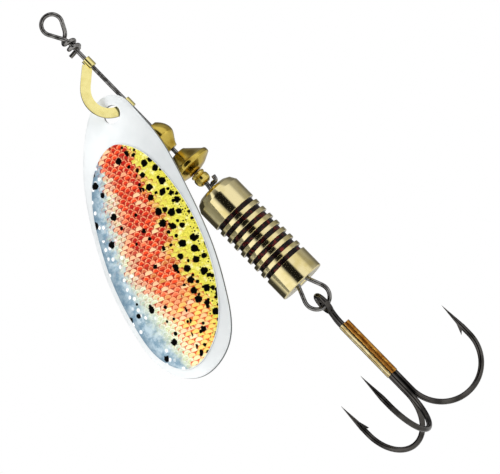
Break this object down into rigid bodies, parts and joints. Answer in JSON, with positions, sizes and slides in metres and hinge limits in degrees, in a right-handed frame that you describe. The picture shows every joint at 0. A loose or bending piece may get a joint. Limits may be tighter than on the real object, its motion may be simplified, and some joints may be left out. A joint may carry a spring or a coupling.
{
  "type": "inline spinner fishing lure",
  "caption": "Inline spinner: long printed blade on a C clevis, brass beads and ribbed brass body on a wire shaft, and a swinging treble hook.",
  "frame": {"origin": "centre of the line eye at the top of the wire shaft", "axes": "+Z along the shaft towards the fishing line, the hook hangs towards -Z; the blade lies on the -X side; -Y is the side that the blade's outer face looks towards"},
  "size_m": [0.0379, 0.023, 0.0875],
  "materials": {
    "steel_wire": "bright drawn stainless wire",
    "clevis_brass": "pale polished brass strip",
    "bead_brass": "polished turned brass",
    "body_brass": "polished turned brass with dark grooves",
    "blade_silver": "silver-plated, bright",
    "blade_print": "glossy printed film with scales and dark spots",
    "hook_dark": "black nickel, glossy",
    "braze_copper": "copper-gold braze"
  },
  "bodies": {
    "wire": {"shaft_wire": "steel_wire"},
    "clevis": {"clevis": "clevis_brass"},
    "blade": {"blade": "blade_silver", "blade_print": "blade_print"},
    "upper_bead": {"upper_bead": "bead_brass"},
    "bell": {"bell_bead": "bead_brass"},
    "neck_bead": {"neck_bead": "bead_brass"},
    "body": {"body": "body_brass"},
    "treble": {"double_hook": "hook_dark", "single_hook": "hook_dark", "braze": "braze_copper"}
  },
  "joints": [
    {"name": "clevis_spin", "type": "hinge", "parent": "wire", "child": "clevis", "pos_m": [0, 0, -0.0127], "axis": [0, 0, 1], "continuous": true},
    {"name": "blade_swing", "type": "hinge", "parent": "clevis", "child": "blade", "pos_m": [-0.003, -0.00109, -0.0166], "axis": [0.2442, 0.9069, -0.3433], "range_deg": [-5, 60]},
    {"name": "upper_bead_slide", "type": "slide", "parent": "wire", "child": "upper_bead", "axis": [0, 0, 1], "range_m": [-0.001, 0.0035]},
    {"name": "bell_spin", "type": "hinge", "parent": "wire", "child": "bell", "pos_m": [0, 0, -0.03], "axis": [0, 0, 1], "continuous": true},
    {"name": "neck_bead_spin", "type": "hinge", "parent": "wire", "child": "neck_bead", "pos_m": [0, 0, -0.0332], "axis": [0, 0, 1], "continuous": true},
    {"name": "body_spin", "type": "hinge", "parent": "wire", "child": "body", "pos_m": [0, 0, -0.0455], "axis": [0, 0, 1], "continuous": true},
    {"name": "treble_swing", "type": "hinge", "parent": "wire", "child": "treble", "pos_m": [0, 0, -0.06057], "axis": [1, 0, 0], "range_deg": [-60, 60]}
  ]
}
